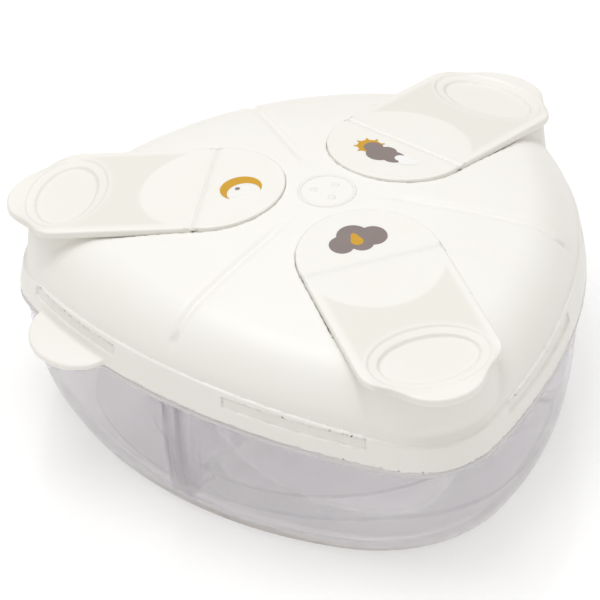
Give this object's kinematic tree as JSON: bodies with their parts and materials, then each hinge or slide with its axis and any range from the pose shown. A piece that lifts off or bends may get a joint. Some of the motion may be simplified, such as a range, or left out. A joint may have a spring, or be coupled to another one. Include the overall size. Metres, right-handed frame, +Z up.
{
  "type": "formula dispenser",
  "caption": "Rounded-triangle portion box: clear bowl with a lift-out three-way divider, and a domed lid with a flip cap over a pour opening at each corner.",
  "frame": {"origin": "middle of the flat underside of the bowl", "axes": "+Z up through the middle of the lid; -Y towards the front corner and its cap; +X to the right of it"},
  "size_m": [0.1423, 0.1388, 0.0591],
  "materials": {
    "clear_bowl": "clear, gloss, faint violet-grey tint",
    "clear_divider": "clear, gloss",
    "ivory_lid": "satin, slightly translucent",
    "ivory_cap": "satin, slightly translucent",
    "print_ochre": "printed ink",
    "print_grey": "printed ink",
    "print_white": "printed ink"
  },
  "bodies": {
    "bowl": {"base_bowl": "clear_bowl"},
    "divider": {"divider": "clear_divider"},
    "lid": {"lid_shell": "ivory_lid", "cap_anchor_front": "ivory_cap", "cap_anchor_right": "ivory_cap", "cap_anchor_left": "ivory_cap"},
    "flap_front": {"cap_flap_front": "ivory_cap"},
    "flap_right": {"cap_flap_right": "ivory_cap"},
    "flap_left": {"cap_flap_left": "ivory_cap"}
  },
  "joints": [
    {"name": "lid_lift", "type": "slide", "parent": "bowl", "child": "lid", "axis": [0, 0, 1], "range_m": [0, 0.12]},
    {"name": "divider_lift", "type": "slide", "parent": "bowl", "child": "divider", "axis": [0, 0, 1], "range_m": [0, 0.06]},
    {"name": "flap_front_hinge", "type": "hinge", "parent": "lid", "child": "flap_front", "pos_m": [0, -0.0302, 0.0561], "axis": [-1, 0, 0], "range_deg": [0, 110]},
    {"name": "flap_right_hinge", "type": "hinge", "parent": "lid", "child": "flap_right", "pos_m": [0.02615, 0.0151, 0.0561], "axis": [0.5, -0.866, 0], "range_deg": [0, 110]},
    {"name": "flap_left_hinge", "type": "hinge", "parent": "lid", "child": "flap_left", "pos_m": [-0.02615, 0.0151, 0.0561], "axis": [0.5, 0.866, 0], "range_deg": [0, 110]}
  ],
  "couplings": [
    {"joint": "divider_lift", "follows": "lid_lift", "ratio": 0.5}
  ]
}
